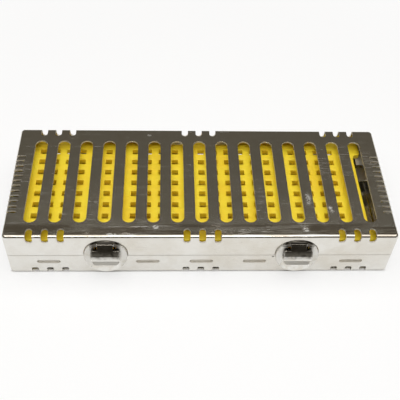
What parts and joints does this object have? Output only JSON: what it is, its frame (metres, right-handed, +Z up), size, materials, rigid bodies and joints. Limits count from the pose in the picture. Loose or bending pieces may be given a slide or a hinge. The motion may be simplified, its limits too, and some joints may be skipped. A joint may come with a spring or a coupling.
{
  "type": "instrument cassette",
  "caption": "Low slotted sheet steel case with a hinged lid, front latches and perforated silicone mats that hold hand instruments.",
  "frame": {"origin": "centre of the underside of the base, in plan the centre of the case", "axes": "+X along the case, -Y towards the latches, +Y towards the hinges, +Z up"},
  "size_m": [0.186, 0.0812, 0.028],
  "materials": {
    "sheet_steel": "brushed stainless steel sheet with fine scratches",
    "latch_steel": "polished stainless steel",
    "pin_steel": "turned stainless steel",
    "silicone": "matt yellow silicone"
  },
  "bodies": {
    "base": {"base_mat": "silicone", "base_mat_clips": "sheet_steel", "base_mat_shelves": "sheet_steel", "base_tray": "sheet_steel", "hinge_leaf_base_left": "latch_steel", "hinge_leaf_base_right": "latch_steel", "hinge_pin_left": "pin_steel", "hinge_pin_right": "pin_steel", "hinge_rivets_base": "pin_steel", "latch_cup_left": "latch_steel", "latch_cup_right": "latch_steel"},
    "lid": {"hinge_leaf_lid_left": "latch_steel", "hinge_leaf_lid_right": "latch_steel", "hinge_rivets_lid": "pin_steel", "latch_hood_left": "latch_steel", "latch_hood_right": "latch_steel", "latch_pin_left": "pin_steel", "latch_pin_right": "pin_steel", "lid_mat": "silicone", "lid_mat_clips": "sheet_steel", "lid_mat_shelves": "sheet_steel", "lid_shell": "sheet_steel"},
    "latch_left": {"latch_flap_left": "latch_steel"},
    "latch_right": {"latch_flap_right": "latch_steel"}
  },
  "joints": [
    {"name": "lid_hinge", "type": "hinge", "parent": "base", "child": "lid", "pos_m": [0, 0.0384, 0.0143], "axis": [-1, 0, 0], "range_deg": [0, 180]},
    {"name": "latch_left_swing", "type": "hinge", "parent": "lid", "child": "latch_left", "pos_m": [-0.0457, -0.0356, 0.0216], "axis": [-1, 0, 0], "range_deg": [0, 80]},
    {"name": "latch_right_swing", "type": "hinge", "parent": "lid", "child": "latch_right", "pos_m": [0.0457, -0.0356, 0.0216], "axis": [-1, 0, 0], "range_deg": [0, 80]}
  ]
}
